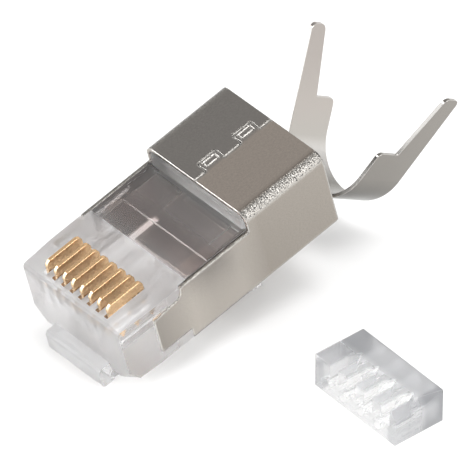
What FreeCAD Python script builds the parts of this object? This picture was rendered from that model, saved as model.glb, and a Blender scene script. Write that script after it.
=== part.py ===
import FreeCAD, Part
import os
import re
import Sketcher
from FreeCAD import Placement, Rotation, Vector

# Shielded eight-position modular plug, in millimetres.
# Each piece is drawn square to the plug: x across the contacts, y from the front face to
# the cable, z to the contact side. The origin is the middle of the front face, at the
# underside of the body. The finished pieces are turned about x at the origin, nose down,
# because a loose plug lies on its nose and the free end of its latch.

SIZES = [
    # shared fits
    ("plug_width", 11.68, "over the two shield walls"),
    ("sheet_metal", 0.3, "thickness of the shield"),
    ("fit_gap", 0.02, "housing to shield, each face"),
    # housing, outside
    ("front_width", 11.16, "across the front face"),
    ("side_inset", 0.07, "bare side wall inside the shield's outer face"),
    ("taper_run", 3.0, "length of the lead-in taper"),
    ("low_top", 5.87, "top of the front part"),
    ("block_setback", 0.2, "housing end inside the shield's rear edge"),
    ("block_lead", 0.15, "rear block in front of the shield's box"),
    ("block_bevel", 0.3, "bevel of the rear block's front edge"),
    ("mark_inset", 0.59, "sunk marks in the top inside the shield's outer face"),
    ("mark_width", 0.95, "sunk marks across"),
    ("mark_front", 10.6, "front end of the sunk marks"),
    ("mark_length", 2.35, "sunk marks along the plug"),
    ("mark_depth", 0.08, "depth of the sunk marks"),
    ("corner_in", 1.2, "lower front corner cut, across"),
    ("corner_up", 1.2, "lower front corner cut, up"),
    ("corner_out", 0.68, "the same cut at right angles to its foot"),
    ("corner_turn", 34.0, "its foot's turn from the front face, degrees"),
    ("edge_bevel", 0.2, "bevel of the front top edge"),
    # housing, inside
    ("cavity_width", 9.8, "space for the load bar"),
    ("cavity_low", 0.85, "floor of the cavity"),
    ("cavity_roof", 5.05, "ceiling of the cavity"),
    ("roof_step", 0.3, "lower ceiling at the cavity's front end"),
    ("cavity_front", 7.4, "front end of the cavity"),
    ("step_place", 9.7, "where the ceiling steps up"),
    ("mouth_place", 14.6, "where the cavity widens to the cable mouth"),
    ("mouth_low", 0.65, "floor of the cable mouth"),
    ("mouth_roof", 6.6, "ceiling of the cable mouth"),
    ("mouth_width", 10.0, "width of the cable mouth"),
    ("mouth_bevel", 0.8, "corners of the cable mouth"),
    ("cavity_bevel", 0.12, "corners of the cavity"),
    # contacts and wire channels
    ("pitch", 1.016, "from one contact to the next"),
    ("blade", 0.3, "contact thickness"),
    ("slot_gap", 0.05, "contact to slot, each side"),
    ("blade_front", 0.82, "front edge of the contacts"),
    ("blade_length", 3.6, "along the plug"),
    ("blade_proud", 0.95, "contact above the housing before crimping"),
    ("blade_height", 3.05, "tips to top"),
    ("blade_round", 0.5, "upper corners of a contact"),
    ("tooth_depth", 0.65, "height of the piercing tips"),
    ("tooth_wide", 0.7, "width of a piercing tip"),
    ("slot_relief", 0.3, "open front part of a slot"),
    ("relief_depth", 0.7, "depth of that part"),
    ("wire_bore", 0.96, "wire channel diameter"),
    ("wire_high", 3.85, "upper row of wire channels"),
    ("wire_low", 3.05, "lower row of wire channels"),
    ("wire_end", 0.6, "front end of the wire channels"),
    # nose and latch
    ("nose_width", 6.33, "nose and latch root"),
    ("nose_reach", 1.15, "nose in front of the front face"),
    ("nose_top", 0.7, "top ledge of the nose"),
    ("nose_low", 1.25, "nose below the body"),
    ("nose_bevel", 0.2, "bevel of the nose's front edges"),
    ("hinge_back", 0.25, "living hinge behind the front face"),
    ("hinge_drop", 0.63, "living hinge below the body"),
    ("hinge_radius", 0.45, "rounded latch root"),
    ("hinge_gap", 0.04, "root to its seat"),
    ("lever_end", 15.65, "free end of the latch"),
    ("lever_bottom", 5.44, "lowest edge of the latch, below the body"),
    ("lever_thick", 0.85, "latch at its free end"),
    ("lever_width", 3.8, "latch behind its shoulders"),
    ("shoulder_place", 8.4, "locking shoulders"),
    ("lip_length", 1.5, "thumb lip at the free end"),
    ("lip_height", 0.35, "thumb lip above the lever"),
    # shield walls
    ("wall_top", 5.82, "top edge of the front walls"),
    ("wall_front", 6.2, "front edge of the full-height walls"),
    ("tongue_front", 3.25, "front edge of the tongues"),
    ("tongue_low", 0.95, "lower edge of the tongues"),
    ("tongue_high", 4.6, "upper edge of the tongues at the front"),
    ("tongue_rise", 0.3, "rise of that edge to the wall"),
    ("wall_curve", 0.6, "inner corner between tongue and wall"),
    ("wall_corner", 0.25, "outer corners of walls and tongues"),
    # shield box
    ("floor_front", 12.3, "front edge of the shield's floor"),
    ("apron_front", 9.7, "front edge of the floor's narrower apron"),
    ("apron_width", 9.6, "width of the apron"),
    ("box_front", 13.45, "front edge of the raised box"),
    ("shell_rear", 21.5, "rear edge of the shield"),
    ("box_top", 7.6, "top of the raised box"),
    ("box_bend", 0.9, "upper bends, outside"),
    ("floor_bend", 0.5, "lower bends, outside"),
    ("rear_bevel", 0.45, "lower rear corners of the walls"),
    # dovetail seam
    ("seam_gap", 0.08, "open line of the seam"),
    ("tab_reach", 1.1, "tabs past the middle line"),
    ("tab_undercut", 0.12, "dovetail undercut"),
    ("tab_first", 1.3, "first tab behind the box's front edge"),
    ("tab_pitch", 3.7, "from the first tab to the second"),
    ("tab_length", 1.8, "tab at its neck"),
    ("tab_round", 0.3, "tab corners"),
    ("neck_round", 0.25, "front corner of a tab's neck"),
    ("coin_depth", 0.08, "coined frame in each tab"),
    ("coin_line", 0.12, "width of the coined line"),
    ("coin_inset", 0.22, "coined frame inside the tab's edge"),
    ("coin_width", 0.62, "coined frame across"),
    # neck and crimp tail
    ("neck_setback", 0.33, "neck bend inside the rear edge"),
    ("neck_run", 2.69, "from the bend to the strap"),
    ("neck_width", 2.4, "width of the neck"),
    ("tail_lean", 45.3, "slope of the strap, degrees"),
    ("strap_width", 4.58, "strap along the cable"),
    ("strap_radius", 4.32, "middle of the sheet"),
    ("arm_splay", 14.5, "arms away from upright, degrees"),
    ("step_height", 5.81, "shoulder of the arms above the strap's bottom"),
    ("far_height", 11.4, "tip of the finger at minus x"),
    ("near_height", 11.55, "tip of the finger at plus x"),
    ("finger_root", 2.4, "finger width at the shoulder"),
    ("finger_tip", 1.6, "finger width at the tip"),
    ("finger_round", 0.55, "tip corners"),
    ("step_round", 0.45, "shoulder corners"),
    # load bar
    ("bar_width", 9.45, "across the channels"),
    ("bar_depth", 4.8, "along the wires"),
    ("bar_height", 3.05, "height"),
    ("bar_x", 18.3, "middle of the bar, beside the plug"),
    ("bar_y", 13.96, "middle of the bar, along the plug"),
    ("bar_turn", -1.6, "turn on the table, degrees"),
    ("groove_width", 0.98, "open upper channels"),
    ("groove_floor", 1.55, "their floor"),
    ("groove_run", 1.92, "their straight length"),
    ("groove_point", 0.91, "their pointed end"),
    ("bar_hole_height", 0.85, "lower row of wire holes"),
    ("bar_guide_height", 2.05, "upper row of wire holes"),
    ("bar_slant", 0.65, "slanted cut across"),
    ("bar_slant_down", 0.8, "slanted cut down"),
    ("bar_slant_run", 2.3, "slanted cut from the front, before it fades out"),
]
SIZE = {name: value for name, value, note in SIZES}
WORD = re.compile(r"[a-z_]+[a-z]")


def make_sheet(doc):
    sheet = doc.addObject("Spreadsheet::Sheet", "Sizes")
    for row, (name, value, note) in enumerate(SIZES, start=1):
        sheet.set(f"A{row}", name)
        sheet.set(f"B{row}", str(value))
        sheet.set(f"C{row}", note)
        sheet.setAlias(f"B{row}", name)
    doc.recompute()


def linked(text):
    return WORD.sub(lambda m: f"Sizes.{m.group()}" if m.group() in SIZE else m.group(), text)


def bind(thing, prop, text):
    thing.setExpression(prop, linked(text))


def new_body(doc, label):
    body = doc.addObject("PartDesign::Body", label)
    body.Label = label
    return body


def origin_part(body, role):
    return next(item for item in body.Origin.OriginFeatures if item.Role == role)


def new_sketch(body, name, plane, offset=("0", "0", "0"), axis=None, angle="0"):
    """Sketch on a plane of the body's origin; offset and turn are in the plane's own directions."""
    sketch = body.newObject("Sketcher::SketchObject", name)
    sketch.AttachmentSupport = [(origin_part(body, plane), "")]
    sketch.MapMode = "FlatFace"
    sketch.AttachmentOffset = Placement(Vector(), Rotation(axis or Vector(0, 0, 1), 10))
    for letter, text in zip("xyz", offset):
        bind(sketch, f"AttachmentOffset.Base.{letter}", text)
    bind(sketch, "AttachmentOffset.Rotation.Angle", angle)
    return sketch


def hold(sketch, kind, geometry, point, text, start):
    """Tie one coordinate of a sketch point to a size."""
    index = sketch.addConstraint(Sketcher.Constraint(kind, -1, 1, geometry, point, start))
    bind(sketch, f"Constraints[{index}]", text)


def polygon(sketch, points):
    """Closed outline whose corners are pairs of sizes."""
    count = len(points)
    first = sketch.GeometryCount
    start = [Vector(10, 0, 0)]
    turn = Rotation(Vector(0, 0, 1), 360.0 / count)
    for _ in range(count - 1):
        start.append(turn.multVec(start[-1]))
    for k in range(count):
        sketch.addGeometry(Part.LineSegment(start[k], start[(k + 1) % count]), False)
    for k in range(count):
        follower = first + (k + 1) % count
        sketch.addConstraint(Sketcher.Constraint("Coincident", first + k, 2, follower, 1))
    for k, (across, up) in enumerate(points):
        hold(sketch, "DistanceX", first + k, 1, across, start[k].x)
        hold(sketch, "DistanceY", first + k, 1, up, start[k].y)


def rectangle(sketch, low, high):
    polygon(sketch, [low, (high[0], low[1]), high, (low[0], high[1])])


def circle(sketch, centre, diameter):
    index = sketch.addGeometry(Part.Circle(Vector(1, 1, 0), Vector(0, 0, 1), 1.0), False)
    hold(sketch, "DistanceX", index, 3, centre[0], 1.0)
    hold(sketch, "DistanceY", index, 3, centre[1], 1.0)
    row = sketch.addConstraint(Sketcher.Constraint("Diameter", index, 2.0))
    bind(sketch, f"Constraints[{row}]", diameter)


def feature(body, kind, sketch, length, middle=False, reverse=False):
    made = body.newObject(f"PartDesign::{kind}", f"{sketch.Name}_{kind}")
    made.Profile = sketch
    bind(made, "Length", length)
    made.SideType = "Symmetric" if middle else "One side"
    made.Reversed = reverse
    body.Document.recompute()
    return made


def repeated(body, first, count, spacing, direction="X_Axis"):
    pattern = body.newObject("PartDesign::LinearPattern", f"{first.Name}_row")
    pattern.Originals = [first]
    pattern.Direction = (origin_part(body, direction), [""])
    bind(pattern, "Length", f"({spacing}) * {count - 1}")
    pattern.Occurrences = count
    body.Tip = pattern
    body.Document.recompute()
    return pattern


def mirrored(body, first):
    twin = body.newObject("PartDesign::Mirrored", f"{first.Name}_twin")
    twin.Originals = [first]
    twin.MirrorPlane = (origin_part(body, "YZ_Plane"), [""])
    body.Tip = twin
    body.Document.recompute()
    return twin


def edges_at(shape, along, places):
    """Names of the straight edges parallel to an axis that pass the given places across it."""
    others = [k for k in range(3) if k != "xyz".index(along)]
    found = []
    for index, edge in enumerate(shape.Edges, start=1):
        first, last = edge.Vertexes[0].Point, edge.Vertexes[-1].Point
        for place in places:
            gaps = [abs(point[k] - want) for point in (first, last) for k, want in zip(others, place)]
            if max(gaps) < 0.004 and (last - first).Length > 0.01:
                found.append(f"Edge{index}")
                break
    return found


def rounded(body, along, places, radius, kind="Fillet"):
    base = body.Tip
    made = body.newObject(f"PartDesign::{kind}", f"{base.Name}_{kind}")
    made.Base = (base, edges_at(base.Shape, along, places))
    bind(made, "Radius" if kind == "Fillet" else "Size", radius)
    body.Document.recompute()
    return made


def laid_down(body, across="0"):
    """Turn a finished piece of the plug to the way that the plug lies."""
    body.Placement = Placement(Vector(), Rotation(Vector(1, 0, 0), 10))
    bind(body, "Placement.Base.x", across)
    bind(body, "Placement.Rotation.Angle", REST_TURN)


def both_sides(places):
    return [(sign * x, other) for x, other in places for sign in (1, -1)]


HALF_INNER = "(plug_width / 2 - sheet_metal - fit_gap)"
HALF_SIDE = "(plug_width / 2 - side_inset)"
HALF_FRONT = "(front_width / 2)"
NOTCH = "(wall_front + 0.4 * sheet_metal)"
NOSE_EDGE = "(nose_reach - nose_bevel)"
REST_TURN = f"atan((lever_bottom - nose_low) / (lever_end + {NOSE_EDGE}))"
TABLE = f"(-{NOSE_EDGE} * sin({REST_TURN}) - nose_low * cos({REST_TURN}))"
inner_x = SIZE["plug_width"] / 2 - SIZE["sheet_metal"] - SIZE["fit_gap"]


def make_housing(doc):
    body = new_body(doc, "housing")
    housing_body(body)
    housing_recesses(body)
    housing_nose(body)
    housing_corners(body)
    housing_cavity(body)
    housing_slots(body)
    laid_down(body)
    return body


def housing_body(body):
    plan = new_sketch(body, "plan", "XY_Plane")
    overlap = "box_front + sheet_metal"
    polygon(plan, [
        (f"-{HALF_FRONT}", "0"), (HALF_FRONT, "0"), (HALF_SIDE, "taper_run"),
        (HALF_SIDE, overlap), (f"-{HALF_SIDE}", overlap), (f"-{HALF_SIDE}", "taper_run"),
    ])
    feature(body, "Pad", plan, "low_top")
    rounded(body, "x", [(0, SIZE["low_top"])], "edge_bevel", "Chamfer")
    block = new_sketch(body, "block", "XZ_Plane", ("0", "0", "block_lead - box_front"))
    rectangle(block, (f"-{HALF_INNER}", "0"), (HALF_INNER, "box_top - sheet_metal - fit_gap"))
    feature(body, "Pad", block, "shell_rear - block_setback - box_front + block_lead", reverse=True)
    block_top = SIZE["box_top"] - SIZE["sheet_metal"] - SIZE["fit_gap"]
    rounded(body, "y", both_sides([(inner_x, block_top)]), "box_bend - sheet_metal")
    rounded(body, "x", [(SIZE["box_front"] - SIZE["block_lead"], block_top)], "block_bevel", "Chamfer")
    mark = new_sketch(body, "mark", "XY_Plane", ("0", "0", "low_top"))
    outer = "plug_width / 2 - mark_inset"
    rectangle(mark, (f"{outer} - mark_width", "mark_front"), (outer, "mark_front + mark_length"))
    mirrored(body, feature(body, "Pocket", mark, "mark_depth"))


def housing_recesses(body):
    """Side pockets that let the shield's walls and tongues lie flush."""
    seat = new_sketch(body, "seat", "YZ_Plane", ("0", "0", HALF_INNER))
    past_rear = "box_front + plug_width / 4"
    corner = ("wall_front - fit_gap", "tongue_high + tongue_rise + fit_gap")
    polygon(seat, [
        (past_rear, "-plug_width / 4"), (f"{NOTCH} - fit_gap", "-plug_width / 4"),
        (f"{NOTCH} - fit_gap", "tongue_low - fit_gap"), ("tongue_front - fit_gap", "tongue_low - fit_gap"),
        ("tongue_front - fit_gap", "tongue_high + fit_gap"), corner,
        ("wall_front - fit_gap", "box_top"), (past_rear, "box_top"),
    ])
    cut = feature(body, "Pocket", seat, "plug_width / 2", reverse=True)
    mirrored(body, cut)
    corner_place = (SIZE["wall_front"] - SIZE["fit_gap"],
                    SIZE["tongue_high"] + SIZE["tongue_rise"] + SIZE["fit_gap"])
    rounded(body, "x", [corner_place], "wall_curve - fit_gap")
    rounded(body, "y", both_sides([(inner_x, 0)]), "floor_bend - sheet_metal")


def housing_nose(body):
    side = new_sketch(body, "nose", "YZ_Plane")
    polygon(side, [
        ("nose_bevel - nose_reach", "-nose_low"), ("-nose_reach", "nose_bevel - nose_low"),
        ("-nose_reach", "nose_top - nose_bevel"), ("nose_bevel - nose_reach", "nose_top"),
        ("hinge_back + nose_top", "nose_top"), ("hinge_back + nose_top", "0"), ("hinge_back", "0"),
        ("hinge_back", "-hinge_drop"), ("hinge_back - hinge_radius / 2", "-nose_low"),
    ])
    feature(body, "Pad", side, "nose_width", middle=True)
    socket = new_sketch(body, "socket", "YZ_Plane")
    circle(socket, ("hinge_back", "-hinge_drop"), "2 * (hinge_radius + hinge_gap)")
    feature(body, "Pocket", socket, "2 * nose_width", middle=True)


def housing_corners(body):
    """Lower front corners cut away."""
    corner = new_sketch(body, "corner", "XZ_Plane", (f"{HALF_FRONT} - corner_in", "0", "0"),
                        Vector(0, 1, 0), "corner_turn - 90")
    polygon(corner, [("-corner_out / 4", "-corner_up / 4"), ("2 * corner_out", "2 * corner_up"),
                     ("6 * corner_out", "2 * corner_up"), ("6 * corner_out", "-corner_up / 4")])
    cut = feature(body, "Pocket", corner, "3 * corner_in")
    mirrored(body, cut)


def housing_cavity(body):
    """Load-bar space open to the rear, with a wider cable mouth."""
    stages = [
        ("comb_end", "cavity_front", "cavity_width / 2", "cavity_low", "cavity_roof - roof_step", "cavity_bevel"),
        ("ceiling", "step_place", "cavity_width / 2", "cavity_low", "cavity_roof", "cavity_bevel"),
        ("mouth", "mouth_place", "mouth_width / 2", "mouth_low", "mouth_roof", "mouth_bevel"),
    ]
    for name, place, half, low, high, bevel in stages:
        section = new_sketch(body, name, "XZ_Plane", ("0", "0", f"-{place}"))
        polygon(section, [
            (f"{bevel} - {half}", low), (f"{half} - {bevel}", low), (half, f"{low} + {bevel}"),
            (half, f"{high} - {bevel}"), (f"{half} - {bevel}", high), (f"{bevel} - {half}", high),
            (f"-{half}", f"{high} - {bevel}"), (f"-{half}", f"{low} + {bevel}"),
        ])
        feature(body, "Pocket", section, "shell_rear")


def housing_slots(body):
    """Eight contact slots over two staggered rows of wire channels."""
    side = "3.5 * pitch + blade / 2 + slot_gap"
    other = "-3.5 * pitch + blade / 2 + slot_gap"
    rear = "blade_front + blade_length + slot_gap"
    slot = new_sketch(body, "slot", "XY_Plane", ("0", "0", "low_top"))
    rectangle(slot, (f"-({side})", "blade_front - slot_gap"), (other, rear))
    repeated(body, feature(body, "Pocket", slot, "blade_height + 2 * slot_gap"), 8, "pitch")
    relief = new_sketch(body, "relief", "XY_Plane", ("0", "0", "low_top"))
    rectangle(relief, (f"-({side})", "blade_front - slot_relief"), (other, "blade_front"))
    repeated(body, feature(body, "Pocket", relief, "relief_depth"), 8, "pitch")
    for name, place, height in [("upper", "-2.5 * pitch", "wire_high"), ("lower", "-3.5 * pitch", "wire_low")]:
        bore = new_sketch(body, name, "XZ_Plane", ("0", "0", "-cavity_front"))
        circle(bore, (place, height), "wire_bore")
        channel = feature(body, "Pocket", bore, "cavity_front - wire_end", reverse=True)
        repeated(body, channel, 4, "2 * pitch")


def make_latch(doc):
    """Lever that hangs from the nose; drawn apart because it swings on its living hinge."""
    body = new_body(doc, "latch")
    end_top = "lever_thick - lever_bottom"
    side = new_sketch(body, "lever", "YZ_Plane")
    polygon(side, [
        ("hinge_back", "hinge_radius - hinge_drop"), ("lever_end", end_top),
        ("lever_end", "-lever_bottom"), ("hinge_back", "-hinge_radius - hinge_drop"),
    ])
    feature(body, "Pad", side, "nose_width", middle=True)
    root = new_sketch(body, "root", "YZ_Plane")
    circle(root, ("hinge_back", "-hinge_drop"), "2 * hinge_radius")
    feature(body, "Pad", root, "nose_width", middle=True)
    waist = new_sketch(body, "waist", "XY_Plane")
    rectangle(waist, ("lever_width / 2", "shoulder_place"), ("nose_width", "lever_end + nose_width"))
    mirrored(body, feature(body, "Pocket", waist, "2 * lever_bottom"))
    lip = new_sketch(body, "lip", "YZ_Plane")
    polygon(lip, [("lever_end - lip_length", end_top), ("lever_end", end_top),
                  ("lever_end", f"{end_top} + lip_height")])
    feature(body, "Pad", lip, "lever_width", middle=True)
    laid_down(body)
    return body


def make_contact(doc, number):
    """Flat insulation-piercing blade with rounded upper corners and three tips."""
    body = new_body(doc, f"contact_{number}")
    top = "low_top + blade_proud"
    flat = f"{top} - blade_height + tooth_depth"
    points = [("blade_front", top), ("blade_front", flat)]
    for share in ("0", "0.5", "1"):
        base = f"blade_front + {share} * (blade_length - tooth_wide)"
        if share != "0":
            points.append((base, flat))
        points.append((f"{base} + tooth_wide / 2", f"{top} - blade_height"))
        points.append((f"{base} + tooth_wide", flat))
    points.append(("blade_front + blade_length", top))
    side = new_sketch(body, "side", "YZ_Plane")
    polygon(side, points)
    feature(body, "Pad", side, "blade", middle=True)
    top_place = SIZE["low_top"] + SIZE["blade_proud"]
    ends = [SIZE["blade_front"], SIZE["blade_front"] + SIZE["blade_length"]]
    rounded(body, "x", [(end, top_place) for end in ends], "blade_round")
    laid_down(body, f"{number - 4.5} * pitch")
    return body


def make_shield(doc):
    body = new_body(doc, "shield")
    shield_box(body)
    shield_walls(body)
    shield_seam(body)
    shield_tail(body)
    laid_down(body)
    return body


def shield_box(body):
    """Folded box round the rear block; its floor reaches further forward than its top."""
    section = new_sketch(body, "box", "XZ_Plane", ("0", "0", "-floor_front"))
    rectangle(section, ("-plug_width / 2", "-sheet_metal - fit_gap"), ("plug_width / 2", "box_top"))
    wall = "(plug_width / 2 - sheet_metal)"
    rectangle(section, (f"-{wall}", "-fit_gap"), (wall, "box_top - sheet_metal"))
    feature(body, "Pad", section, "shell_rear - floor_front", reverse=True)
    half, metal, gap = SIZE["plug_width"] / 2, SIZE["sheet_metal"], SIZE["fit_gap"]
    rounded(body, "y", both_sides([(half, SIZE["box_top"])]), "box_bend")
    rounded(body, "y", both_sides([(half - metal, SIZE["box_top"] - metal)]), "box_bend - sheet_metal")
    rounded(body, "y", both_sides([(half, -metal - gap)]), "floor_bend")
    rounded(body, "y", both_sides([(half - metal, -gap)]), "floor_bend - sheet_metal")
    apron = new_sketch(body, "apron", "XY_Plane", ("0", "0", "-sheet_metal - fit_gap"))
    rectangle(apron, ("-apron_width / 2", "apron_front"), ("apron_width / 2", "floor_front + sheet_metal"))
    feature(body, "Pad", apron, "sheet_metal")
    ledge = new_sketch(body, "ledge", "YZ_Plane")
    rectangle(ledge, ("floor_front - sheet_metal", "wall_top"), ("box_front", "2 * box_top"))
    feature(body, "Pocket", ledge, "2 * plug_width", middle=True)
    heel = new_sketch(body, "heel", "YZ_Plane")
    low = "-sheet_metal - fit_gap"
    polygon(heel, [("shell_rear - rear_bevel", f"{low} - fit_gap"), ("shell_rear + fit_gap", f"{low} - fit_gap"),
                   ("shell_rear + fit_gap", f"{low} + rear_bevel")])
    feature(body, "Pocket", heel, "2 * plug_width", middle=True)


def shield_walls(body):
    """Flat side walls in front of the box, each with a tongue beside the contacts."""
    overlap = "floor_front + sheet_metal"
    for name, lift in [("near_wall", "plug_width / 2 - sheet_metal"), ("far_wall", "-plug_width / 2")]:
        side = new_sketch(body, name, "YZ_Plane", ("0", "0", lift))
        polygon(side, [
            (overlap, "floor_bend"), ("floor_front", "0"), (NOTCH, "0"), (NOTCH, "tongue_low"),
            ("tongue_front", "tongue_low"), ("tongue_front", "tongue_high"),
            ("wall_front", "tongue_high + tongue_rise"), ("wall_front", "wall_top"), (overlap, "wall_top"),
        ])
        feature(body, "Pad", side, "sheet_metal")
    rise = SIZE["tongue_high"] + SIZE["tongue_rise"]
    rounded(body, "x", [(SIZE["wall_front"], rise)], "wall_curve")
    corners = [(SIZE["wall_front"], SIZE["wall_top"])]
    corners += [(SIZE["tongue_front"], SIZE[edge]) for edge in ("tongue_low", "tongue_high")]
    rounded(body, "x", corners, "wall_corner")


def shield_seam(body):
    """Open line between the two halves of the box top, with two dovetail tabs and their coined frames."""
    path = [("0", "box_front - sheet_metal", 0)]
    for start in ("box_front + tab_first", "box_front + tab_first + tab_pitch"):
        end = f"{start} + tab_length"
        path.append(("0", start, -1))
        path.append(("-tab_reach", f"{start} - tab_undercut", -1))
        path.append(("-tab_reach", f"{end} + tab_undercut", 1))
        path.append(("0", end, 1))
    path.append(("0", "shell_rear + sheet_metal", 0))
    half_gap = "seam_gap / 2"
    left = [(f"{x} - {half_gap}", f"{y} + {turn} * {half_gap}") for x, y, turn in path]
    right = [(f"{x} + {half_gap}", f"{y} - {turn} * {half_gap}") for x, y, turn in reversed(path)]
    seam = new_sketch(body, "seam", "XY_Plane", ("0", "0", "box_top + fit_gap"))
    polygon(seam, left + right)
    feature(body, "Pocket", seam, "sheet_metal + 2 * fit_gap")
    half, under, reach = SIZE["seam_gap"] / 2, SIZE["tab_undercut"], SIZE["tab_reach"]
    places = []
    for tab in (0, 1):
        start = SIZE["box_front"] + SIZE["tab_first"] + tab * SIZE["tab_pitch"]
        for side in (-1, 1):
            places.append((-reach + side * half, start - under + side * half))
            places.append((-reach + side * half, start + SIZE["tab_length"] + under - side * half))
    rounded(body, "z", places, "tab_round")
    necks = []
    for tab in (0, 1):
        start = SIZE["box_front"] + SIZE["tab_first"] + tab * SIZE["tab_pitch"]
        necks += [(-half, start - half), (half, start + half)]
    rounded(body, "z", necks, "neck_round")
    frame = new_sketch(body, "coined_frame", "XY_Plane", ("0", "0", "box_top"))
    for start in ("box_front + tab_first", "box_front + tab_first + tab_pitch"):
        low = ("coin_inset - tab_reach", f"{start} + coin_inset")
        high = ("coin_inset + coin_width - tab_reach", f"{start} + tab_length - coin_inset")
        rectangle(frame, low, high)
        rectangle(frame, tuple(f"{text} + coin_line" for text in low),
                  tuple(f"{text} - coin_line" for text in high))
    feature(body, "Pocket", frame, "coin_depth")


def shield_tail(body):
    """Neck bent down from the floor and the U strap that is crimped round the cable."""
    bend_y = "(shell_rear - neck_setback)"
    bend_z = "(-fit_gap - sheet_metal / 2)"
    lean = "(tail_lean * 1 deg)"
    miter = f"sheet_metal / 2 * tan({lean} / 2)"
    neck = new_sketch(body, "neck", "YZ_Plane")
    along = (f"{bend_y} + (neck_run + sheet_metal) * cos({lean})",
             f"{bend_z} - (neck_run + sheet_metal) * sin({lean})")
    across = (f"sheet_metal / 2 * sin({lean})", f"sheet_metal / 2 * cos({lean})")
    polygon(neck, [
        (f"{bend_y} - 2 * sheet_metal", "-fit_gap"), (f"{bend_y} + {miter}", "-fit_gap"),
        (f"{along[0]} + {across[0]}", f"{along[1]} + {across[1]}"),
        (f"{along[0]} - {across[0]}", f"{along[1]} - {across[1]}"),
        (f"{bend_y} - {miter}", "-sheet_metal - fit_gap"), (f"{bend_y} - 2 * sheet_metal", "-sheet_metal - fit_gap"),
    ])
    feature(body, "Pad", neck, "neck_width", middle=True)
    foot_y = f"{bend_y} + neck_run * cos({lean})"
    foot_z = f"{bend_z} - neck_run * sin({lean})"
    strap = new_sketch(body, "strap", "XZ_Plane", ("0", foot_z, f"-({foot_y})"), Vector(1, 0, 0), "-tail_lean")
    strap_outline(strap)
    feature(body, "Pad", strap, "strap_width", reverse=True)
    top = "strap_radius * 4"
    slope = "(finger_root - finger_tip) / (far_height - step_height)"
    far = new_sketch(body, "far_finger", "YZ_Plane", (foot_y, foot_z, "0"), None, "-tail_lean")
    polygon(far, [
        ("finger_root", "step_height"), ("strap_width + sheet_metal", "step_height"),
        ("strap_width + sheet_metal", top), (f"finger_root - {slope} * ({top} - step_height)", top),
    ])
    feature(body, "Pocket", far, "plug_width")
    near = new_sketch(body, "near_finger", "YZ_Plane", (foot_y, foot_z, "0"), None, "-tail_lean")
    inside = "strap_width - finger_root"
    polygon(near, [
        ("-sheet_metal", "step_height"), (inside, "step_height"),
        (f"{inside} + {slope} * ({top} - step_height)", top), ("-sheet_metal", top),
    ])
    feature(body, "Pocket", near, "plug_width", reverse=True)
    tail_corners(body)


def tail_corners(body):
    """Rounded finger tips and shoulder corners, placed along the leaning strap."""
    tilt = Rotation(Vector(1, 0, 0), -SIZE["tail_lean"])
    bend = Vector(0, SIZE["shell_rear"] - SIZE["neck_setback"], -SIZE["fit_gap"] - SIZE["sheet_metal"] / 2)

    def place(along, height):
        point = bend + tilt.multVec(Vector(0, SIZE["neck_run"] + along, height))
        return point.y, point.z

    slope = (SIZE["finger_root"] - SIZE["finger_tip"]) / (SIZE["far_height"] - SIZE["step_height"])
    far_edge = SIZE["finger_root"] - slope * (SIZE["far_height"] - SIZE["step_height"])
    near_edge = (SIZE["strap_width"] - SIZE["finger_root"]
                 + slope * (SIZE["near_height"] - SIZE["step_height"]))
    tips = [place(0, SIZE["far_height"]), place(far_edge, SIZE["far_height"]),
            place(near_edge, SIZE["near_height"]), place(SIZE["strap_width"], SIZE["near_height"])]
    rounded(body, "x", tips, "finger_round")
    steps = [place(SIZE["strap_width"], SIZE["step_height"]), place(0, SIZE["step_height"])]
    rounded(body, "x", steps, "step_round")


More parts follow.
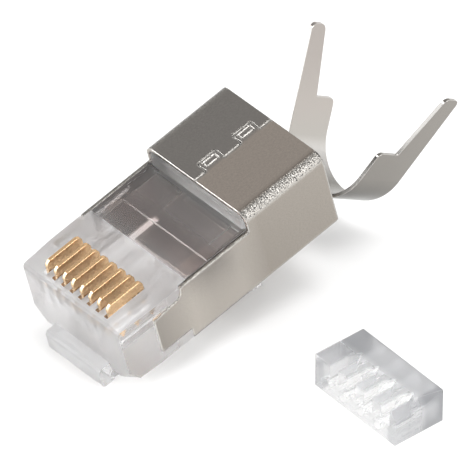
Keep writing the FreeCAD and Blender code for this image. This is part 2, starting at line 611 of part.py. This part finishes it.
def strap_outline(sketch):
    """U of sheet metal: a round bottom and two straight arms leaning outwards."""
    radius, half = SIZE["strap_radius"], SIZE["sheet_metal"] / 2
    splay = SIZE["arm_splay"]
    centre = Vector(0, radius, 0)
    down = Vector(0, -1, 0)
    swing = Rotation(Vector(0, 0, 1), 90 - splay)
    heights = {1: SIZE["near_height"], -1: SIZE["far_height"]}
    ends = {}
    for name, reach in (("outer", radius + half), ("inner", radius - half)):
        right = centre + swing.multVec(down) * reach
        left = Vector(-right.x, right.y, 0)
        low = centre + down * reach
        sketch.addGeometry(Part.Arc(left, low, right), False)
        ends[name] = (left, right)
    rise = Rotation(Vector(0, 0, 1), -splay).multVec(Vector(0, 1, 0))
    for side in (1, -1):
        tips = []
        for name in ("outer", "inner"):
            foot = ends[name][0 if side < 0 else 1]
            length = (heights[side] - foot.y) / rise.y
            tips.append(foot + Vector(side * rise.x, rise.y, 0) * length)
            sketch.addGeometry(Part.LineSegment(foot, tips[-1]), False)
        sketch.addGeometry(Part.LineSegment(tips[0], tips[1]), False)
    outer, inner = 0, 1
    near_outer, near_inner, near_cap, far_outer, far_inner, far_cap = range(2, 8)
    rules = [
        ("Coincident", outer, 3, inner, 3), ("PointOnObject", outer, 3, -2),
        ("Tangent", outer, 2, near_outer, 1), ("Tangent", outer, 1, far_outer, 1),
        ("Tangent", inner, 2, near_inner, 1), ("Tangent", inner, 1, far_inner, 1),
        ("Coincident", near_outer, 2, near_cap, 1), ("Coincident", near_inner, 2, near_cap, 2),
        ("Coincident", far_outer, 2, far_cap, 1), ("Coincident", far_inner, 2, far_cap, 2),
        ("Parallel", near_outer, near_inner), ("Parallel", far_outer, far_inner),
        ("Horizontal", near_cap), ("Horizontal", far_cap),
    ]
    for rule in rules:
        sketch.addConstraint(Sketcher.Constraint(*rule))
    hold(sketch, "DistanceY", outer, 3, "strap_radius", radius)
    hold(sketch, "DistanceY", near_outer, 2, "near_height", heights[1])
    hold(sketch, "DistanceY", far_outer, 2, "far_height", heights[-1])
    for geometry, text, start in ((outer, "strap_radius + sheet_metal / 2", radius + half),
                                  (inner, "strap_radius - sheet_metal / 2", radius - half)):
        row = sketch.addConstraint(Sketcher.Constraint("Radius", geometry, start))
        bind(sketch, f"Constraints[{row}]", text)
    for line in (near_outer, far_outer):
        pair = (-2, line) if line == far_outer else (line, -2)
        turn = splay * 3.141592653589793 / 180
        row = sketch.addConstraint(Sketcher.Constraint("Angle", pair[0], pair[1], turn))
        bind(sketch, f"Constraints[{row}]", "arm_splay * 1 deg")


def make_load_bar(doc):
    """Wire guide taken out of the cavity, lying flat on the same surface as the plug."""
    body = new_body(doc, "load_bar")
    front = "-bar_depth / 2"
    plan = new_sketch(body, "bar", "XY_Plane")
    rectangle(plan, ("-bar_width / 2", front), ("bar_width / 2", "bar_depth / 2"))
    feature(body, "Pad", plan, "bar_height")
    groove = new_sketch(body, "groove", "XY_Plane", ("0", "0", "bar_height"))
    left, right = "-2.5 * pitch - groove_width / 2", "-2.5 * pitch + groove_width / 2"
    straight = f"{front} + groove_run"
    polygon(groove, [(left, f"{front} - groove_point"), (right, f"{front} - groove_point"), (right, straight),
                     ("-2.5 * pitch", f"{straight} + groove_point"), (left, straight)])
    repeated(body, feature(body, "Pocket", groove, "bar_height - groove_floor"), 4, "2 * pitch")
    rows = [("guide", "-2.5 * pitch", "bar_guide_height"), ("lower_hole", "-3.5 * pitch", "bar_hole_height")]
    for name, place, height in rows:
        hole = new_sketch(body, name, "XZ_Plane", ("0", "0", "bar_depth"))
        circle(hole, (place, height), "wire_bore")
        repeated(body, feature(body, "Pocket", hole, "2 * bar_depth"), 4, "2 * pitch")
    bar_slant(body)
    body.Placement = Placement(Vector(), Rotation(Vector(0, 0, 1), -5))
    bind(body, "Placement.Base.x", "bar_x")
    bind(body, "Placement.Base.y", "bar_y")
    bind(body, "Placement.Base.z", TABLE)
    bind(body, "Placement.Rotation.Angle", "bar_turn")
    return body


def bar_slant(body):
    """Slanted cut on one end of the bar: even at the front, then fading out to the rear corner."""
    fade_place = "bar_slant_run - bar_depth / 2"
    places = [("slant", "-bar_depth", 1), ("fade_start", fade_place, 1), ("fade_end", "bar_depth / 2", 20)]
    sections = []
    for name, place, share in places:
        section = new_sketch(body, name, "XZ_Plane", ("0", "0", f"-({place})"))
        inner, lower = f"bar_width / 2 - bar_slant / {share}", f"bar_height - bar_slant_down / {share}"
        polygon(section, [(inner, "bar_height"), ("bar_width / 2", lower), ("bar_width", lower),
                          ("bar_width", "2 * bar_height"), (inner, "2 * bar_height")])
        sections.append(section)
    feature(body, "Pocket", sections[0], "bar_depth / 2 + bar_slant_run")
    fade = body.newObject("PartDesign::SubtractiveLoft", "fade")
    fade.Profile = (sections[1], [""])
    fade.Sections = [(sections[2], [""])]
    fade.Ruled = True


def check(doc, pieces):
    """Stop on a failed feature or a piece that isn't one valid solid."""
    doc.recompute()
    for item in doc.Objects:
        if "Invalid" in item.State or "Error" in item.State:
            raise RuntimeError(f"{item.Label}: {item.State} {item.getStatusString()}")
    for piece in pieces:
        shape = piece.Shape
        if shape.isNull() or not shape.isValid() or len(shape.Solids) != 1:
            raise RuntimeError(f"{piece.Label}: not one valid solid")


def main():
    doc = FreeCAD.newDocument("plug")
    make_sheet(doc)
    pieces = [make_housing(doc), make_latch(doc), make_shield(doc), make_load_bar(doc)]
    pieces += [make_contact(doc, number) for number in range(1, 9)]
    check(doc, pieces)
    os.makedirs("parts", exist_ok=True)
    for piece in pieces:
        piece.Shape.exportStep(f"parts/{piece.Label}.step")
        box = piece.Shape.BoundBox
        print(f"{piece.Label}: {piece.Shape.Volume:.2f} mm3, z {box.ZMin:.2f} to {box.ZMax:.2f}")


main()
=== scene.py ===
"""Finishes, studio and camera for a shielded eight-way modular plug with its loose load bar."""
import math

import bpy
from mathutils import Matrix, Vector


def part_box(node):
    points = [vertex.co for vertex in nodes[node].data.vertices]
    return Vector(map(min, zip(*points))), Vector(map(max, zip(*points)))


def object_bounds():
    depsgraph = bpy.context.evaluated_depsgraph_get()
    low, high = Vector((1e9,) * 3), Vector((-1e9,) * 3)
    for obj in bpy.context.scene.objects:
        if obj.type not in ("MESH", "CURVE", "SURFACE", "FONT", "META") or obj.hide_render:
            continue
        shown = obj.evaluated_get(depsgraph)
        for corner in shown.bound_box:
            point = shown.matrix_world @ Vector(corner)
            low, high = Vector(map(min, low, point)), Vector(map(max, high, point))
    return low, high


MM = 0.001
REST_TURN = math.radians(14.166)
PLUG_AXIS = (0.0, math.cos(REST_TURN), math.sin(REST_TURN))

BEVEL_SAMPLES = 16
BUMP_HEIGHT = 0.1 * MM
BEND_RADIUS = 0.4 * MM
# Roof nickel as a painted reflection: lighter on the near half, darker on the far half.
NEAR_ROOF_PAINTED_REFLECTION, FAR_ROOF_PAINTED_REFLECTION = (0.46, 0.402, 0.352), (0.3, 0.281, 0.262)

# Colours, painted light and shade, and haze by place. Places are millimetres behind the plug's front
# face, behind the bar's front or, for the strap, across the plug from its middle.
# Housing colour with painted light: a pale band at 7 mm, then a painted warm shade where the body sits
# inside the shield.
HOUSING_TINT_AND_PAINTED_SHADE = ((0.0, (0.92, 0.92, 0.928)), (3.5, (0.925, 0.915, 0.915)), (6.4, (0.93, 0.915, 0.913)),
                 (7.1, (0.95, 0.958, 0.965)), (8.5, (0.83, 0.77, 0.755)), (9.8, (0.83, 0.77, 0.755)),
                 (10.7, (0.93, 0.865, 0.85)), (12.6, (0.93, 0.865, 0.85)), (13.1, (1.0, 1.0, 1.0)))
HOUSING_HAZE = ((-2.0, 0.32), (4.2, 0.34), (4.8, 0.5), (6.9, 0.5), (7.3, 0.03), (13.0, 0.03),
                (13.3, 0.4))
BAR_TONES = ((0.0, (0.62, 0.625, 0.64)), (2.6, (0.52, 0.525, 0.54)), (3.2, (0.36, 0.365, 0.38)))
BAR_HAZE = ((0.0, 0.14), (2.6, 0.2), (3.1, 0.6))
# Painted reflection on the box's walls: lighter and darker bands along the plug.
WALL_PAINTED_REFLECTION = ((3.5, (0.32, 0.295, 0.267)), (5.5, (0.41, 0.379, 0.342)), (7.0, (0.5, 0.462, 0.417)),
              (9.0, (0.45, 0.416, 0.375)), (11.8, (0.47, 0.434, 0.392)), (14.5, (0.335, 0.305, 0.269)),
              (21.0, (0.345, 0.314, 0.278)))
# Painted light across the strap: the far arm painted lighter with a painted highlight line, the middle
# and near arm painted darker.
STRAP_PAINTED_LIGHT = ((-7.5, (0.37, 0.338, 0.315)), (-5.5, (0.39, 0.357, 0.332)), (-4.5, (0.43, 0.398, 0.369)),
               (-3.9, (0.43, 0.41, 0.38)), (-3.4, (0.62, 0.6, 0.575)), (-2.5, (0.5, 0.485, 0.465)),
               (-1.0, (0.23, 0.22, 0.2)), (3.5, (0.27, 0.256, 0.235)), (6.6, (0.295, 0.276, 0.252)),
               (8.2, (0.235, 0.22, 0.201)))

# Grain over a painted highlight and a painted dark band by how far the bend has turned, from 0
# upwards to 1 sideways, and gold painted lighter or darker by where a face looks, from -1 straight
# ahead to 1 straight back.
BEND_GRAIN_AND_PAINTED_LIGHT = ((0.12, (0.3, 0.285, 0.26)), (0.36, (0.06, 0.057, 0.053)), (0.55, (0.09, 0.086, 0.08)),
               (0.78, (0.62, 0.6, 0.57)), (1.0, (0.44, 0.415, 0.38)))
# Gold painted lighter on the front tips and darker on faces that look up or back.
GOLD_PAINTED_LIGHT = ((-1.0, (0.96, 0.7, 0.42)), (-0.85, (1.0, 0.86, 0.62)), (-0.45, (1.0, 0.86, 0.62)),
              (-0.2, (0.8, 0.53, 0.29)))

# Place in metres, size in metres and power in watts.
LAMPS = {"overhead": ((0.14, 0.09, 0.7), 0.28, 1.5),
         "left_front": ((-0.42, -0.33, 0.48), 0.18, 0.9),
         "low_front": ((-0.35, -0.48, 0.1), 0.3, 0.35),
         "front": ((0.35, -0.5, 0.35), 0.4, 0.5),
         "side": ((0.6, 0.25, 0.25), 0.35, 0.4),
         "shoulder": ((0.53, 0.13, 0.46), 0.24, 0.75)}
LIT_PLACE = (0, 0.011, 0.003)
FLOOR_REACH = 0.6

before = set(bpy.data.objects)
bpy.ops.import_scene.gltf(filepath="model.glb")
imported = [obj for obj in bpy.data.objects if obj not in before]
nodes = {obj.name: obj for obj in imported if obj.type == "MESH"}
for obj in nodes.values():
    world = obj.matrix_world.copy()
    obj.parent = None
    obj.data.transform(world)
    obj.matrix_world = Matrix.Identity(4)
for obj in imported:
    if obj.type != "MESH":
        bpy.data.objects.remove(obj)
cad_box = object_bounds()


def shader(name):
    """Empty material with its output and one Principled shader."""
    material = bpy.data.materials.new(name)
    material.use_nodes = True
    tree = material.node_tree
    tree.nodes.clear()
    output = tree.nodes.new("ShaderNodeOutputMaterial")
    surface = tree.nodes.new("ShaderNodeBsdfPrincipled")
    tree.links.new(surface.outputs["BSDF"], output.inputs["Surface"])
    return material, tree, surface


def ranged(tree, source, lows, highs):
    """Maps a value from one range onto another."""
    ramp = tree.nodes.new("ShaderNodeMapRange")
    names = ("From Min", "From Max", "To Min", "To Max")
    for name, value in zip(names, (*lows, *highs)):
        ramp.inputs[name].default_value = value
    tree.links.new(source, ramp.inputs["Value"])
    return ramp.outputs["Result"]


def reckoned(tree, operation, first, second=None):
    """Result of a sum on one value, or on one value and either a second or a plain number."""
    node = tree.nodes.new("ShaderNodeMath")
    node.operation = operation
    tree.links.new(first, node.inputs[0])
    if isinstance(second, float):
        node.inputs[1].default_value = second
    elif second is not None:
        tree.links.new(second, node.inputs[1])
    return node.outputs["Value"]


def larger(tree, first, second):
    return reckoned(tree, "MAXIMUM", first, second)


def times(tree, first, second):
    return reckoned(tree, "MULTIPLY", first, second)


def magnitude(tree, value):
    return reckoned(tree, "ABSOLUTE", value)


def mixed(tree, factor, first, second, blend="MIX"):
    """Blend of two colours, each given plainly or as a socket."""
    mix = tree.nodes.new("ShaderNodeMix")
    mix.data_type = "RGBA"
    mix.blend_type = blend
    tree.links.new(factor, mix.inputs[0])
    for name, colour in (("A", first), ("B", second)):
        socket = next(item for item in mix.inputs if item.name == name and item.type == "RGBA")
        if isinstance(colour, tuple):
            socket.default_value = (*colour, 1.0)
        else:
            tree.links.new(colour, socket)
    return next(item for item in mix.outputs if item.type == "RGBA")


def stepped(tree, source, span, stops, unit=MM):
    """Colour or grey level that changes at given places of a value's span."""
    low, high = span
    ramp = tree.nodes.new("ShaderNodeValToRGB")
    tree.links.new(ranged(tree, source, (low * unit, high * unit), (0.0, 1.0)), ramp.inputs["Fac"])
    marks = ramp.color_ramp.elements
    while len(marks) < len(stops):
        marks.new(1.0)
    for mark, (place, tone) in zip(marks, stops):
        mark.position = (place - low) / (high - low)
        mark.color = (*tone, 1.0) if isinstance(tone, tuple) else (tone, tone, tone, 1.0)
    return ramp.outputs["Color"]


def parts_of(tree, name):
    """The x, y and z of a place or a normal in object space."""
    place = tree.nodes.new("ShaderNodeTexCoord")
    split = tree.nodes.new("ShaderNodeSeparateXYZ")
    tree.links.new(place.outputs[name], split.inputs["Vector"])
    return split.outputs


def sideways(tree):
    """1 on faces that look straight to a side, 0 on those that look up, down, forwards or back."""
    return magnitude(tree, parts_of(tree, "Normal")["X"])


def along_plug(tree, name="Object"):
    """How far a place lies behind the plug's front face, or a normal points backwards."""
    place = tree.nodes.new("ShaderNodeTexCoord")
    project = tree.nodes.new("ShaderNodeVectorMath")
    project.operation = "DOT_PRODUCT"
    project.inputs[1].default_value = PLUG_AXIS
    tree.links.new(place.outputs[name], project.inputs[0])
    return project.outputs["Value"]


def surface_noise_group():
    """Fine unevenness on softened edges: its mask, the bumped normal and a mask of the rims, which
    carries painted highlights on the plastic and the nickel.
    """
    group = bpy.data.node_groups.new("surface_noise", "ShaderNodeTree")
    for name, default in {"Scale": 1000.0, "Detail": 4.0, "Depth": 0.1, "Edge": 0.05 * MM}.items():
        socket = group.interface.new_socket(name, in_out="INPUT", socket_type="NodeSocketFloat")
        socket.default_value = default
    for name, kind in {"Mask": "Float", "Normal": "Vector", "Rim Mask": "Float"}.items():
        group.interface.new_socket(name, in_out="OUTPUT", socket_type="NodeSocket" + kind)
    entry = group.nodes.new("NodeGroupInput")
    leave = group.nodes.new("NodeGroupOutput")
    place = group.nodes.new("ShaderNodeTexCoord")
    noise = group.nodes.new("ShaderNodeTexNoise")
    bump = group.nodes.new("ShaderNodeBump")
    bump.inputs["Distance"].default_value = BUMP_HEIGHT
    soft_edge = group.nodes.new("ShaderNodeBevel")
    soft_edge.samples = BEVEL_SAMPLES
    shape = group.nodes.new("ShaderNodeNewGeometry")
    straight = group.nodes.new("ShaderNodeVectorMath")
    straight.operation = "DOT_PRODUCT"
    link = group.links.new
    link(place.outputs["Object"], noise.inputs["Vector"])
    link(entry.outputs["Scale"], noise.inputs["Scale"])
    link(entry.outputs["Detail"], noise.inputs["Detail"])
    link(entry.outputs["Depth"], bump.inputs["Strength"])
    link(entry.outputs["Edge"], soft_edge.inputs["Radius"])
    link(soft_edge.outputs["Normal"], bump.inputs["Normal"])
    link(soft_edge.outputs["Normal"], straight.inputs[0])
    link(shape.outputs["Normal"], straight.inputs[1])
    link(noise.outputs["Fac"], bump.inputs["Height"])
    link(noise.outputs["Fac"], leave.inputs["Mask"])
    link(bump.outputs["Normal"], leave.inputs["Normal"])
    link(ranged(group, straight.outputs["Value"], (0.98, 0.9), (0.0, 1.0)), leave.inputs["Rim Mask"])
    return group


def place_group(tree, group, **values):
    """One use of a shared effect with its own values."""
    node = tree.nodes.new("ShaderNodeGroup")
    node.node_tree = group
    for name, value in values.items():
        node.inputs[name].default_value = value
    return node


def light_passes(tree, surface):
    """Lets lamps shine through clear plastic onto what lies behind it."""
    path = tree.nodes.new("ShaderNodeLightPath")
    open_way = tree.nodes.new("ShaderNodeBsdfTransparent")
    open_way.inputs["Color"].default_value = (0.9, 0.9, 0.9, 1.0)
    mix = tree.nodes.new("ShaderNodeMixShader")
    either = larger(tree, path.outputs["Is Shadow Ray"], path.outputs["Is Diffuse Ray"])
    tree.links.new(either, mix.inputs["Fac"])
    tree.links.new(surface.outputs["BSDF"], mix.inputs[1])
    tree.links.new(open_way.outputs["BSDF"], mix.inputs[2])
    tree.links.new(mix.outputs["Shader"], tree.nodes["Material Output"].inputs["Surface"])


def clear_plastic(name, noise, tint_and_painted_light, clear, dull):
    """Moulded clear plastic, dulled where tooling marks and channels lie under its face."""
    material, tree, surface = shader(name)
    surface.inputs["Transmission Weight"].default_value = clear
    surface.inputs["IOR"].default_value = 1.3
    moulded = place_group(tree, noise, Scale=900.0, Detail=3.0, Depth=0.03, Edge=0.09 * MM)
    # Paler rims: a painted highlight along the edges.
    tone = mixed(tree, moulded.outputs["Rim Mask"], tint_and_painted_light(tree), (0.98, 0.98, 0.98))
    tree.links.new(tone, surface.inputs["Base Color"])
    polish = ranged(tree, moulded.outputs["Mask"], (0.3, 0.7), (0.04, 0.1))
    tree.links.new(larger(tree, polish, dull(tree)), surface.inputs["Roughness"])
    tree.links.new(moulded.outputs["Normal"], surface.inputs["Normal"])
    light_passes(tree, surface)
    return material


def housing_tint_and_painted_shade(tree):
    """Nearly neutral in front, a painted pale band then a painted warm shade where the body sits inside
    the shield, and painted shade on the sides.
    """
    tone = stepped(tree, along_plug(tree), (0.0, 20.0), HOUSING_TINT_AND_PAINTED_SHADE)
    # Painted shade on the sides.
    side = ranged(tree, sideways(tree), (0.6, 0.9), (0.0, 1.0))
    return mixed(tree, side, tone, (0.94, 0.935, 0.93), "MULTIPLY")


def housing_dull(tree):
    """Hazy round the contacts, clear over the ceiling's step, and less hazy on the sides."""
    haze = stepped(tree, along_plug(tree), (-2.0, 22.0), HOUSING_HAZE)
    return times(tree, haze, ranged(tree, sideways(tree), (0.5, 0.9), (1.0, 0.55)))


def behind_bar_front(tree):
    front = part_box("load_bar")[0][1]
    return reckoned(tree, "SUBTRACT", parts_of(tree, "Object")["Y"], front)


def bar_tint_and_painted_highlight(tree):
    """Grey top and ends, darker towards the back, with a painted highlight: white in the channels and
    low at the front.
    """
    (left, _, _), (right, _, top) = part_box("load_bar")
    place = parts_of(tree, "Object")
    low = ranged(tree, place["Z"], (top - 0.25 * MM, top - 0.1 * MM), (1.0, 0.0))
    from_middle = magnitude(tree, reckoned(tree, "SUBTRACT", place["X"], (left + right) / 2))
    end = (right - left) / 2
    inner = ranged(tree, from_middle, (end - 1.1 * MM, end - 0.9 * MM), (1.0, 0.0))
    grey = stepped(tree, behind_bar_front(tree), (0.0, 5.0), BAR_TONES)
    # Painted highlight: white in the channels and low at the front.
    return mixed(tree, times(tree, low, inner), grey, (1.0, 1.0, 1.0))


def bar_dull(tree):
    """Clear channels in front, hazy solid behind them."""
    return stepped(tree, behind_bar_front(tree), (0.0, 5.0), BAR_HAZE)


def box_tone_and_painted_light(tree, place, normal, along):
    """Nickel of the walls and roof with painted reflections: painted bands along the walls, a painted
    lighter near half and a painted dark band by the bend on the roof; both are a little uneven.
    """
    # Painted reflection: lighter and darker bands along the walls.
    walls = stepped(tree, along, (0.0, 22.0), WALL_PAINTED_REFLECTION)
    # Painted reflection: the roof's near half lighter than its far half.
    painted_near_half = ranged(tree, place["X"], (-0.2 * MM, 0.2 * MM), (0.0, 1.0))
    roof = mixed(tree, painted_near_half, FAR_ROOF_PAINTED_REFLECTION, NEAR_ROOF_PAINTED_REFLECTION)
    # Painted shade: the roof darkened in a band next to its near bend.
    painted_shade_by_bend = ranged(tree, place["X"], (4.6 * MM, 5.1 * MM), (0.0, 1.0))
    roof = mixed(tree, painted_shade_by_bend, roof, (0.8, 0.79, 0.78), "MULTIPLY")
    box = mixed(tree, ranged(tree, normal["Z"], (0.6, 0.85), (0.0, 1.0)), walls, roof)
    cloud = tree.nodes.new("ShaderNodeTexNoise")
    cloud.inputs["Scale"].default_value = 160.0
    cloud.inputs["Detail"].default_value = 1.0
    uneven = ranged(tree, cloud.outputs["Fac"], (0.3, 0.7), (0.0, 1.0))
    return mixed(tree, uneven, box, (0.88, 0.88, 0.88), "MULTIPLY")


def strap_painted_light(tree, place, normal):
    """Nickel of the crimp tail with painted light: painted lighter and darker bands across it, painted
    shade beneath and a painted highlight on its stamped edges.
    """
    strap = stepped(tree, place["X"], (-7.5, 9.5), STRAP_PAINTED_LIGHT)
    # Painted shade on faces that look down.
    under = ranged(tree, normal["Z"], (-0.15, -0.5), (0.0, 1.0))
    strap = mixed(tree, under, strap, (0.55, 0.55, 0.54), "MULTIPLY")
    # Painted highlight on the stamped edges.
    stamped = ranged(tree, normal["Y"], (-0.5, -0.7), (0.0, 1.0))
    return mixed(tree, stamped, strap, (0.6, 0.585, 0.565))


# Box and strap nickel with their painted reflections, shade and highlights, joined behind the box.
def plate_tone_and_painted_light(tree):
    place, normal, along = parts_of(tree, "Object"), parts_of(tree, "Normal"), along_plug(tree)
    behind_box = ranged(tree, along, (22.5 * MM, 23.5 * MM), (0.0, 1.0))
    return mixed(tree, behind_box, box_tone_and_painted_light(tree, place, normal, along), strap_painted_light(tree, place, normal))


def rounded(tree):
    """How far the box's long upper bends have turned to a side, and how strongly they bend."""
    soft = tree.nodes.new("ShaderNodeBevel")
    soft.samples = BEVEL_SAMPLES
    soft.inputs["Radius"].default_value = BEND_RADIUS
    split = tree.nodes.new("ShaderNodeSeparateXYZ")
    tree.links.new(soft.outputs["Normal"], split.inputs["Vector"])
    turned = magnitude(tree, split.outputs["X"])
    both_ways = magnitude(tree, times(tree, split.outputs["X"], split.outputs["Z"]))
    before_tail = ranged(tree, along_plug(tree), (22.2 * MM, 22.6 * MM), (1.0, 0.0))
    return turned, times(tree, ranged(tree, both_ways, (0.05, 0.3), (0.0, 1.0)), before_tail)


def grain_and_painted_bend_light(tree, turned, mask):
    """Grains of the plating on a bend over a painted highlight, with a painted dark band towards the
    top.
    """
    scatter = ranged(tree, mask, (0.3, 0.7), (-0.5, 0.5))
    return stepped(tree, reckoned(tree, "ADD", turned, scatter), (0.0, 1.0), BEND_GRAIN_AND_PAINTED_LIGHT, unit=1.0)


def nickel_plate(noise):
    """Fine grain that opens on the long upper bends under a painted highlight and dark band, with
    painted highlights on the rims.
    """
    material, tree, surface = shader("nickel_plate")
    surface.inputs["Metallic"].default_value = 1.0
    grain = place_group(tree, noise, Scale=10500.0, Detail=1.0)
    turned, bend = rounded(tree)
    tree.links.new(ranged(tree, bend, (0.0, 1.0), (0.004, 0.5)), grain.inputs["Depth"])
    front_edge = ranged(tree, along_plug(tree), (13.7 * MM, 14.1 * MM), (0.13 * MM, 0.07 * MM))
    bend_edge = ranged(tree, bend, (0.0, 0.3), (0.07 * MM, BEND_RADIUS))
    tree.links.new(larger(tree, front_edge, bend_edge), grain.inputs["Edge"])
    # Paler rims: a painted highlight along the edges.
    tone = mixed(tree, grain.outputs["Rim Mask"], plate_tone_and_painted_light(tree), (0.7, 0.68, 0.65))
    # Painted highlight and painted dark band on the long upper bends, broken by grain.
    tone = mixed(tree, bend, tone, grain_and_painted_bend_light(tree, turned, grain.outputs["Mask"]))
    tree.links.new(tone, surface.inputs["Base Color"])
    satin = ranged(tree, grain.outputs["Mask"], (0.3, 0.7), (0.22, 0.25))
    tree.links.new(satin, surface.inputs["Roughness"])
    tree.links.new(grain.outputs["Normal"], surface.inputs["Normal"])
    return material


def gold_plate(noise):
    """Soft gold with painted light: a painted highlight on the rounded front tips, painted shade on the
    blades' upper edges and a painted mid tone on their sides.
    """
    material, tree, surface = shader("gold_plate")
    surface.inputs["Metallic"].default_value = 1.0
    polish = place_group(tree, noise, Scale=3000.0, Detail=2.0, Depth=0.002, Edge=0.08 * MM)
    # Painted light by where a face looks: highlight on the front tips, shade further back.
    painted_facing_light = stepped(tree, along_plug(tree, "Normal"), (-1.0, 1.0), GOLD_PAINTED_LIGHT, unit=1.0)
    # Painted mid tone on the blades' sides.
    side = ranged(tree, sideways(tree), (0.6, 0.8), (0.0, 1.0))
    tone = mixed(tree, side, painted_facing_light, (0.97, 0.665, 0.385))
    # The rims get one plain gold tone.
    tone = mixed(tree, polish.outputs["Rim Mask"], tone, (0.9, 0.62, 0.36))
    tree.links.new(tone, surface.inputs["Base Color"])
    satin = ranged(tree, polish.outputs["Mask"], (0.3, 0.7), (0.24, 0.3))
    tree.links.new(satin, surface.inputs["Roughness"])
    tree.links.new(polish.outputs["Normal"], surface.inputs["Normal"])
    return material


def dress(node, material):
    for slot in nodes[node].material_slots:
        slot.link = "OBJECT"
        slot.material = material


def dress_nodes():
    noise = surface_noise_group()
    housing_clear = clear_plastic("clear_polycarbonate", noise, housing_tint_and_painted_shade, 0.95, housing_dull)
    bar_clear = clear_plastic("clear_load_bar", noise, bar_tint_and_painted_highlight, 0.86, bar_dull)
    nickel = nickel_plate(noise)
    gold = gold_plate(noise)
    for node in nodes:
        if node.startswith("contact"):
            dress(node, gold)
    dress("housing", housing_clear)
    dress("latch", housing_clear)
    dress("load_bar", bar_clear)
    dress("shield", nickel)


def add_camera():
    """Long lens above the near front corner."""
    azimuth, elevation, roll = (math.radians(a) for a in (48.528, 39.214, -0.333))
    back = Vector((math.sin(azimuth) * math.cos(elevation),
                   -math.cos(azimuth) * math.cos(elevation), math.sin(elevation)))
    level = Vector((math.cos(azimuth), math.sin(azimuth), 0))
    upright = back.cross(level)
    right = level * math.cos(roll) - upright * math.sin(roll)
    up = level * math.sin(roll) + upright * math.cos(roll)
    aim = Vector((0, 10.41, 6.237)) * MM + right * 3.89 * MM - up * 0.26 * MM
    distance = 0.8
    turn = Matrix((right, up, back)).transposed().to_4x4()
    data = bpy.data.cameras.new("camera")
    data.sensor_width = 36.0
    data.lens = 788.2
    data.clip_start = 0.01
    data.clip_end = 10.0
    camera = bpy.data.objects.new("camera", data)
    camera.matrix_world = Matrix.Translation(aim + back * distance) @ turn
    bpy.context.collection.objects.link(camera)
    bpy.context.scene.camera = camera


def add_lamp(name, place, size, power):
    data = bpy.data.lights.new(name, "AREA")
    data.size = size
    data.energy = power
    lamp = bpy.data.objects.new(name, data)
    lamp.location = place
    towards = Vector(LIT_PLACE) - Vector(place)
    lamp.rotation_euler = towards.to_track_quat("-Z", "Y").to_euler()
    bpy.context.collection.objects.link(lamp)


def seen_directly(tree):
    """1 for rays from the camera, from gloss and through clear plastic."""
    path = tree.nodes.new("ShaderNodeLightPath")
    total = path.outputs["Is Camera Ray"]
    for name in ("Is Glossy Ray", "Is Transmission Ray"):
        total = larger(tree, total, path.outputs[name])
    return total


def dim_overhead(tree):
    """White backdrop all round that falls off to a darker ceiling."""
    return ranged(tree, parts_of(tree, "Generated")["Z"], (0.35, 0.95), (1.0, 0.45))


def add_world():
    world = bpy.data.worlds.new("studio")
    bpy.context.scene.world = world
    world.use_nodes = True
    tree = world.node_tree
    tree.nodes.clear()
    output = tree.nodes.new("ShaderNodeOutputWorld")
    mix = tree.nodes.new("ShaderNodeMixShader")
    room = tree.nodes.new("ShaderNodeBackground")
    room.inputs["Color"].default_value = (1, 1, 1, 1)
    room.inputs["Strength"].default_value = 0.9
    backdrop = tree.nodes.new("ShaderNodeBackground")
    backdrop.inputs["Color"].default_value = (1, 1, 1, 1)
    tree.links.new(dim_overhead(tree), backdrop.inputs["Strength"])
    tree.links.new(seen_directly(tree), mix.inputs["Fac"])
    tree.links.new(room.outputs["Background"], mix.inputs[1])
    tree.links.new(backdrop.outputs["Background"], mix.inputs[2])
    tree.links.new(mix.outputs["Shader"], output.inputs["Surface"])


def add_floor():
    low = cad_box[0][2]
    corners = [(x * FLOOR_REACH, y * FLOOR_REACH, low) for x, y in ((-1, -1), (1, -1), (1, 1), (-1, 1))]
    mesh = bpy.data.meshes.new("floor")
    mesh.from_pydata(corners, [], [(0, 1, 2, 3)])
    floor = bpy.data.objects.new("floor", mesh)
    bpy.context.collection.objects.link(floor)
    material, _, surface = shader("white_table")
    surface.inputs["Base Color"].default_value = (0.95, 0.95, 0.95, 1)
    surface.inputs["Roughness"].default_value = 0.6
    mesh.materials.append(material)


dress_nodes()
add_camera()
for lamp_name, (lamp_place, lamp_size, lamp_power) in LAMPS.items():
    add_lamp(lamp_name, lamp_place, lamp_size, lamp_power)
add_world()
add_floor()
bpy.context.scene.view_settings.view_transform = "Standard"
